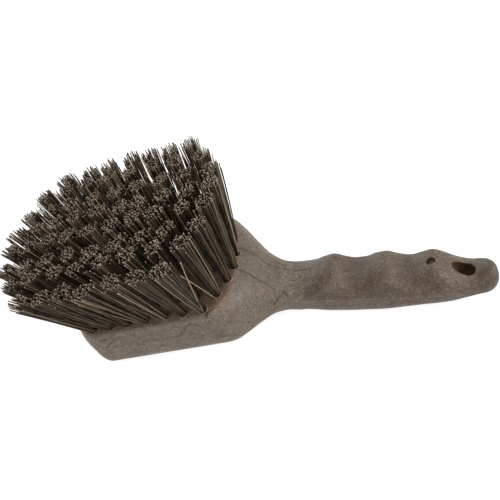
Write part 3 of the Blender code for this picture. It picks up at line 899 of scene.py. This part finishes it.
class Nodes:
    """A short hand for building a material's nodes. Values can be numbers or sockets of other nodes."""

    def __init__(self, name):
        self.material = bpy.data.materials.new(name)
        self.material.use_nodes = True
        self.tree = self.material.node_tree
        self.shader = self.tree.nodes["Principled BSDF"]

    def link(self, start, end):
        self.tree.links.new(start, end)

    def feed(self, socket, value):
        if hasattr(value, "links"):
            self.link(value, socket)
        else:
            socket.default_value = value

    def set_input(self, name, value):
        """Gives the shader's own input a value, or links a socket to it."""
        self.feed(self.shader.inputs[name], value)

    def math(self, operation, first, second=0.0, third=0.0):
        node = self.tree.nodes.new("ShaderNodeMath")
        node.operation = operation
        for socket, value in zip(node.inputs, (first, second, third)):
            self.feed(socket, value)
        return node.outputs[0]

    def product(self, first, *others):
        for other in others:
            first = self.math("MULTIPLY", first, other)
        return first

    def mapped(self, vector, scale=(1, 1, 1), turn=(0, 0, 0), shift=(0, 0, 0)):
        mapping = self.tree.nodes.new("ShaderNodeMapping")
        mapping.inputs["Scale"].default_value = scale
        mapping.inputs["Rotation"].default_value = turn
        mapping.inputs["Location"].default_value = shift
        self.link(vector, mapping.inputs["Vector"])
        return mapping.outputs[0]

    def in_block(self, rest):
        """The surface point's place in the block's own frame."""
        back = rest.inverted()
        coordinates = self.tree.nodes.new("ShaderNodeTexCoord")
        return self.mapped(coordinates.outputs["Object"], turn=back.to_euler(), shift=back.translation)

    def noise(self, vector, scale, detail=2.0, roughness=0.5, distortion=0.0):
        node = self.tree.nodes.new("ShaderNodeTexNoise")
        self.link(vector, node.inputs["Vector"])
        node.inputs["Scale"].default_value = scale
        node.inputs["Detail"].default_value = detail
        node.inputs["Roughness"].default_value = roughness
        node.inputs["Distortion"].default_value = distortion
        return node.outputs["Fac"]

    def ranged(self, value, low, high, to_low=0.0, to_high=1.0):
        """A smooth step from one value, up to the low end of a range, to another, from its high end on."""
        node = self.tree.nodes.new("ShaderNodeMapRange")
        node.interpolation_type = "SMOOTHSTEP"
        for key, number in (("From Min", low), ("From Max", high), ("To Min", to_low), ("To Max", to_high)):
            node.inputs[key].default_value = number
        self.link(value, node.inputs["Value"])
        return node.outputs[0]

    def window(self, value, start, full, fading, end):
        """One from full to fading, falling to nothing at the start and at the end."""
        return self.product(self.ranged(value, start, full), self.ranged(value, fading, end, 1.0, 0.0))

    def spots(self, place, scale, low, high, least=0.0, most=1.0, **kind):
        """Noise of some scale that steps from its least value to its most between low and high."""
        return self.ranged(self.noise(place, scale, **kind), low, high, least, most)

    def mix(self, share, first, second, mode="MIX"):
        node = self.tree.nodes.new("ShaderNodeMix")
        node.data_type = "RGBA"
        node.blend_type = mode
        for socket, value in ((node.inputs[0], share), (node.inputs[6], first), (node.inputs[7], second)):
            self.feed(socket, value)
        return node.outputs[2]

    def paint(self, colour, mask, share, over):
        """Covers a colour with another by the mask and the share."""
        return self.mix(self.math("MULTIPLY", mask, share), colour, linear(over))

    def bump(self, height, strength, distance, normal=None):
        node = self.tree.nodes.new("ShaderNodeBump")
        node.inputs["Strength"].default_value = strength
        node.inputs["Distance"].default_value = distance
        self.link(height, node.inputs["Height"])
        if normal:
            self.link(normal, node.inputs["Normal"])
        return node.outputs[0]

    def split(self, vector):
        node = self.tree.nodes.new("ShaderNodeSeparateXYZ")
        self.link(vector, node.inputs[0])
        return node.outputs


def distance_from(kit, place, point):
    node = kit.tree.nodes.new("ShaderNodeVectorMath")
    node.operation = "DISTANCE"
    kit.link(place, node.inputs[0])
    node.inputs[1].default_value = point
    return node.outputs["Value"]


def stripe(kit, value, middle, half):
    """One where the value is at the middle, falling to nothing at the half width."""
    away = kit.math("ABSOLUTE", kit.math("SUBTRACT", value, middle))
    return kit.ranged(away, 0.0, half, 1.0, 0.0)


def circle_through(first, middle, last):
    """The centre and radius of the circle through three points of a plane."""
    (ax, ay), (bx, by), (cx, cy) = first, middle, last
    double = 2 * (ax * (by - cy) + bx * (cy - ay) + cx * (ay - by))
    a, b, c = ax * ax + ay * ay, bx * bx + by * by, cx * cx + cy * cy
    centre = (
        (a * (by - cy) + b * (cy - ay) + c * (ay - by)) / double,
        (a * (cx - bx) + b * (ax - cx) + c * (bx - ax)) / double,
    )
    return centre, math.dist(centre, first)


def flow_and_shade_line(kit, place, wobble, keep, points):
    """A dark line on an arc through three points of the skin, in the plane of the two axes in keep."""
    flat = [tuple(point[k] for k in keep) for point in points]
    (first, second), radius = circle_through(*flat)
    centre = [0.0, 0.0, 0.0]
    centre[keep[0]] = first
    centre[keep[1]] = second
    scale = tuple(float(k in keep) for k in range(3))
    away = kit.math("ADD", distance_from(kit, kit.mapped(place, scale=scale), centre), wobble)
    line = stripe(kit, away, radius, FLOW_AND_SHADE_LINE_HALF_WIDTH)
    start, middle, end = points
    reach = max((middle - start).length, (end - middle).length)
    fade = [reach * share for share in FLOW_AND_SHADE_LINE_FADE_SHARES]
    near = kit.ranged(distance_from(kit, place, middle), *fade, 1.0, 0.0)
    return kit.math("MULTIPLY", line, near)


def foam_ground(kit, place):
    """The foam's blotches, its reddish and greenish tints, and its fine grain."""
    blotches = kit.spots(place, 46, 0.36, 0.66, detail=3, roughness=0.55, distortion=0.5)
    colour = kit.mix(blotches, linear(FOAM_DARK), linear(FOAM_LIGHT))
    tint = kit.spots(place, 95, 0.40, 0.60, detail=3, roughness=0.6, distortion=0.8)
    colour = kit.mix(TINT_SHARE, colour, kit.mix(tint, linear(FOAM_REDDISH), linear(FOAM_GREENISH)))
    grain = kit.spots(place, 300, 0.32, 0.68, detail=3, roughness=0.65, distortion=0.2)
    return kit.paint(colour, grain, GRAIN_SHARE, FOAM_GRAIN)


def foam_veins_and_crease_shade(kit, place, x):
    """Where the dark lines are: the foam's broken swirls all over, and the lines that the photograph shows,
    partly flow lines and partly painted shade along creases.
    """
    flow = kit.mapped(place, scale=SWIRL_STRETCH, turn=SWIRL_TURN)
    swirls = kit.noise(flow, 24, detail=2.2, roughness=0.45, distortion=0.9)
    rings = kit.math("PINGPONG", kit.math("MULTIPLY", swirls, SWIRL_LINES), 0.5)
    lines = kit.ranged(rings, 0.0, SWIRL_LINE_WIDTH, 1.0, 0.0)
    shown = kit.spots(place, 34, 0.44, 0.58)
    broken = kit.spots(place, 420, 0.36, 0.56)
    veins_and_shade_lines = kit.product(lines, shown, kit.ranged(x, *SWIRL_FADE, 1.0, SWIRLS_ON_HANDLE), broken)
    wobble = kit.math("MULTIPLY_ADD", kit.noise(place, 190), 2 * FLOW_AND_SHADE_LINE_WOBBLE, -FLOW_AND_SHADE_LINE_WOBBLE)
    uneven = kit.spots(place, 280, 0.34, 0.60, least=0.45)
    skin = body_skin()
    for keep, pixels in FLOW_AND_SHADE_LINE_PIXELS:
        points = [skin.ray_cast(*sight(pixel))[0] for pixel in pixels]
        for arc in zip(points[::2], points[1::2], points[2::2]):
            line = kit.math("MULTIPLY", flow_and_shade_line(kit, place, wobble, keep, arc), uneven)
            veins_and_shade_lines = kit.math("MAXIMUM", veins_and_shade_lines, line)
    return veins_and_shade_lines


# Patches of painted shade, broken up by mottled noise.
def with_shade_patches(kit, place, colour):
    patchy = kit.spots(place, 210, 0.30, 0.58, least=0.35, detail=3, roughness=0.6)
    for middle, reach in SHADE_PATCHES:
        near = kit.ranged(distance_from(kit, place, middle), 0.0, reach, 1.0, 0.0)
        colour = kit.paint(colour, kit.math("MULTIPLY", near, patchy), PATCH_SHADE_SHARE, PATCH_SHADE_COLOUR)
    return colour


def with_parting_line(kit, place, x, z, colour):
    """Painted light and shade along the parting line: a painted highlight on its bead, a painted shadow under
    it, and a band of painted shade over it on the handle.
    """
    on_handle = kit.math("MULTIPLY_ADD", x, -SIDE_LINE_FALL / HANDLE_LENGTH, LINE_AT_ORIGIN)
    on_shoulder = kit.math("MULTIPLY_ADD", x, PARTING_RISE, PARTING_AT_ORIGIN)
    over_line = kit.math("SUBTRACT", z, kit.math("MINIMUM", on_handle, on_shoulder))
    along = kit.window(x, *PARTING_ALONG)
    bead_shadow = kit.product(stripe(kit, over_line, *BEAD_SHADOW_STRIPE), along)
    colour = kit.paint(colour, bead_shadow, BEAD_SHADOW_SHARE, BEAD_SHADOW_COLOUR)
    gaps = kit.spots(place, 260, 0.40, 0.58, least=0.15)
    ridge_highlight = kit.product(stripe(kit, over_line, *RIDGE_HIGHLIGHT_STRIPE), along, gaps)
    colour = kit.paint(colour, ridge_highlight, RIDGE_HIGHLIGHT_SHARE, RIDGE_HIGHLIGHT_COLOUR)
    patchy = kit.spots(place, 60, 0.3, 0.65, least=0.4)
    shade_band = kit.product(kit.window(over_line, *SHADE_BAND_HEIGHTS), kit.window(x, *SHADE_BAND_ALONG), patchy)
    return kit.paint(colour, shade_band, SHADE_BAND_SHARE, SHADE_BAND_COLOUR)


def foam_material(rest):
    """Brown foamed plastic: blotches, a close speckle, dark lines that are partly flow lines and partly
    painted shade, and painted light and shade by the tufts, on the grip and along the parting line.
    """
    kit = Nodes("foamed_plastic_skin")
    place = kit.in_block(rest)
    x, y, z = kit.split(place)
    colour = foam_ground(kit, place)
    # Painted warm bounce light: the bristle face between the tufts is made lighter and redder.
    near_roots = kit.product(kit.window(x, *ROOTS_ALONG), kit.window(y, *ROOTS_ACROSS))
    roots_bounce_light = kit.product(near_roots, kit.ranged(z, *ROOTS_HEIGHTS))
    colour = kit.paint(colour, roots_bounce_light, ROOTS_BOUNCE_LIGHT_SHARE, ROOTS_BOUNCE_LIGHT_COLOUR)

    speckle = kit.noise(place, 780, detail=2.5, roughness=0.65)
    dark = kit.ranged(speckle, 0.34, 0.48, 1.0, 0.0)
    colour = kit.paint(colour, dark, kit.ranged(x, *SPECKLE_CHANGE, *DARK_SPECK_SHARES), DARK_SPECK)
    pale = kit.spots(place, 860, 0.53, 0.68, detail=2.5, roughness=0.65)
    colour = kit.paint(colour, pale, kit.ranged(x, *SPECKLE_CHANGE, *PALE_SPECK_SHARES), PALE_SPECK)

    # Dark lines, partly the foam's flow lines and partly painted shade along creases and form edges.
    colour = kit.paint(colour, foam_veins_and_crease_shade(kit, place, x), VEIN_AND_CREASE_SHADE_SHARE, VEIN_AND_CREASE_SHADE_COLOUR)
    colour = with_shade_patches(kit, place, colour)
    # Painted highlight and shadow along the parting line's bead, and a band of painted shade over it on the
    # handle.
    colour = with_parting_line(kit, place, x, z, colour)
    # The handle is made darker than the block.
    colour = kit.mix(kit.ranged(x, *HANDLE_DARKENING_START), colour, linear(HANDLE_DARKENING), "MULTIPLY")

    kit.set_input("Base Color", colour)
    kit.set_input("Roughness", kit.spots(place, 120, 0.3, 0.7, least=0.46, most=0.60))
    kit.set_input("Specular IOR Level", 0.45)
    pits = kit.bump(speckle, strength=0.45, distance=0.0004)
    wavy = kit.noise(place, 60, detail=3, distortion=0.3)
    kit.set_input("Normal", kit.bump(wavy, strength=0.35, distance=0.0012, normal=pits))
    return kit.material


def hole_shade_material(rest):
    """Rougher skin, darker by painted shade, inside the hanging hole and on the dimple's wall."""
    kit = Nodes("foamed_plastic_hole_shade")
    patches = kit.spots(kit.in_block(rest), 420, 0.34, 0.68, detail=3, roughness=0.6)
    kit.set_input("Base Color", kit.mix(patches, *map(linear, HOLE_SHADE_COLOURS)))
    kit.set_input("Roughness", 0.8)
    kit.set_input("Specular IOR Level", 0.2)
    kit.set_input("Normal", kit.bump(patches, strength=0.3, distance=0.0003))
    return kit.material


def lip_highlight_material(rest):
    """Painted highlight on the burrs round the tufts' holes: a paler skin."""
    kit = Nodes("foamed_plastic_burr_highlight")
    patches = kit.spots(kit.in_block(rest), 500, 0.34, 0.68, detail=3, roughness=0.6)
    kit.set_input("Base Color", kit.mix(patches, *map(linear, BURR_HIGHLIGHT_COLOURS)))
    kit.set_input("Roughness", 0.6)
    kit.set_input("Specular IOR Level", 0.4)
    return kit.material


def filament_material(name, colours, roughness):
    """A filament's tone runs between two colours, by its own shade and by faint streaks along it."""
    kit = Nodes(name)
    shade = kit.tree.nodes.new("ShaderNodeAttribute")
    shade.attribute_name = "shade"
    coordinates = kit.tree.nodes.new("ShaderNodeTexCoord")
    streaks = kit.noise(kit.mapped(coordinates.outputs["Object"], scale=(1, 1, 0.25)), 420)
    own = kit.math("MULTIPLY", shade.outputs["Fac"], FILAMENT_SHADE_SHARE)
    tone = kit.math("MULTIPLY_ADD", kit.ranged(streaks, 0.3, 0.7), FILAMENT_STREAK_SHARE, own)
    kit.set_input("Base Color", kit.mix(tone, *map(linear, colours)))
    kit.set_input("Roughness", roughness)
    kit.set_input("Specular IOR Level", 0.15)
    kit.set_input("Normal", kit.bump(streaks, strength=0.2, distance=0.0002))
    return kit.material


def floor_material():
    """A white floor that stays white to the camera and keeps the brush's shadow."""
    kit = Nodes("white_floor")
    kit.set_input("Base Color", FLOOR_GREY)
    kit.set_input("Roughness", 0.9)
    kit.set_input("Specular IOR Level", 0.1)
    path = kit.tree.nodes.new("ShaderNodeLightPath")
    seen = kit.math("MAXIMUM", path.outputs["Is Camera Ray"], path.outputs["Is Glossy Ray"])
    seen = kit.math("MAXIMUM", seen, path.outputs["Is Transmission Ray"])
    kit.set_input("Emission Color", WHITE)
    kit.set_input("Emission Strength", kit.math("MULTIPLY", seen, FLOOR_GLOW))
    return kit.material


def make_floor():
    mesh = bmesh.new()
    bmesh.ops.create_grid(mesh, x_segments=1, y_segments=1, size=FLOOR_REACH)
    floor = mesh_object("floor", mesh, Matrix.Translation((0, 0, -FLOOR_DROP)))
    floor.data.materials.append(floor_material())


def make_light(name, place, power, colour):
    lamp = bpy.data.lights.new(name, "AREA")
    lamp.shape = "DISK"
    lamp.size = LAMP_SIZE
    lamp.energy = power
    lamp.color = colour
    thing = bpy.data.objects.new(name, lamp)
    bpy.context.scene.collection.objects.link(thing)
    thing.location = place
    thing.rotation_euler = (Vector(LAMP_AIM) - Vector(place)).to_track_quat("-Z", "Y").to_euler()


def make_world():
    """White to the camera and in reflections, and a weak even light on the brush."""
    world = bpy.data.worlds.new("studio")
    bpy.context.scene.world = world
    world.use_nodes = True
    nodes = world.node_tree.nodes
    links = world.node_tree.links
    background = nodes["Background"]
    background.inputs["Color"].default_value = WHITE
    path = nodes.new("ShaderNodeLightPath")
    seen = path.outputs["Is Camera Ray"]
    for name in ("Is Glossy Ray", "Is Transmission Ray"):
        either = nodes.new("ShaderNodeMath")
        either.operation = "MAXIMUM"
        links.new(seen, either.inputs[0])
        links.new(path.outputs[name], either.inputs[1])
        seen = either.outputs[0]
    level = nodes.new("ShaderNodeMapRange")
    level.inputs["To Min"].default_value = WORLD_LIGHT
    level.inputs["To Max"].default_value = 1.0
    links.new(seen, level.inputs["Value"])
    links.new(level.outputs[0], background.inputs["Strength"])


def make_camera(rest):
    lens = bpy.data.cameras.new("camera")
    lens.sensor_width = SENSOR_WIDTH
    lens.lens = LENS_PIXELS * SENSOR_WIDTH / PICTURE
    lens.clip_start, lens.clip_end = CLIP_RANGE
    camera = bpy.data.objects.new("camera", lens)
    bpy.context.scene.collection.objects.link(camera)
    camera.matrix_world = rest @ camera_matrix()
    bpy.context.scene.camera = camera


def rest_matrix():
    """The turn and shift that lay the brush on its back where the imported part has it."""
    turn = Matrix.Rotation(REST_TILT, 4, "Y")
    points = [turn @ Vector(point) for x in stations() for point in section(x)]
    low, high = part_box("block_and_handle")
    along = high[0] - max(point.x for point in points)
    return Matrix.Translation((along, 0, low[2] - min(point.z for point in points))) @ turn


rest = rest_matrix()
rows = tuft_rows()
make_camera(rest)

body = make_body(rest, rows, (foam_material(rest), hole_shade_material(rest), lip_highlight_material(rest)))
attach(body, "root")
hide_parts("block_and_handle")

strand = filament_material("bristle_strand", STRAND_COLOURS, roughness=0.44)
# Pale cut ends: partly their own tone, partly painted highlight where they catch light.
cut_end_tone_and_highlight = filament_material("bristle_cut_end", CUT_END_TONE_AND_HIGHLIGHT_COLOURS, roughness=0.6)
for number, piece in enumerate(make_bristles(rest, rows, (strand, cut_end_tone_and_highlight)), start=1):
    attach(piece, "root")
    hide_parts(f"bristle_row_{number}")

make_floor()
make_world()
for lamp_values in LAMPS:
    make_light(*lamp_values)

bpy.context.scene.view_settings.view_transform = "Standard"
